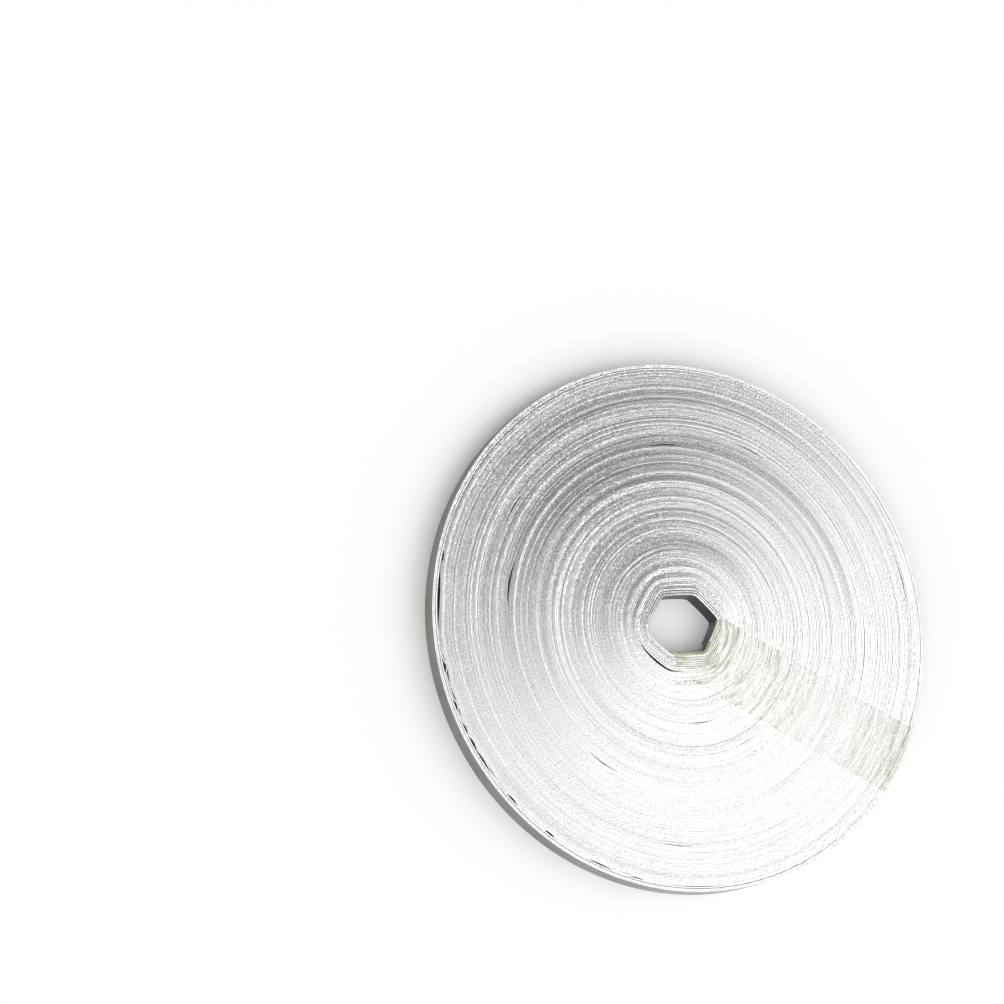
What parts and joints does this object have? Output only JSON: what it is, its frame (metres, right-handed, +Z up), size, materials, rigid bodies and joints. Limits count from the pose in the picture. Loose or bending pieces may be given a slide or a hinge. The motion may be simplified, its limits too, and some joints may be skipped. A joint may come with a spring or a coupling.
{
  "type": "coil of magnesium ribbon",
  "caption": "Flat coil of thin magnesium ribbon with a small six-sided hole, its turns held by a band of clear tape.",
  "frame": {"origin": "on the coil's axis, in the plane of its underside", "axes": "+Z up along the coil's axis, +X along the tape, from the hole out to the rim"},
  "size_m": [0.0821, 0.082, 0.0036],
  "materials": {
    "ribbon": "rolled bright metal strip, satin, with fine specks on its edges",
    "tape": "clear adhesive film, slightly yellowed, wrinkled over the turns"
  },
  "bodies": {
    "root": {"ribbon_coil": "ribbon", "tape_band": "tape"}
  },
  "joints": []
}
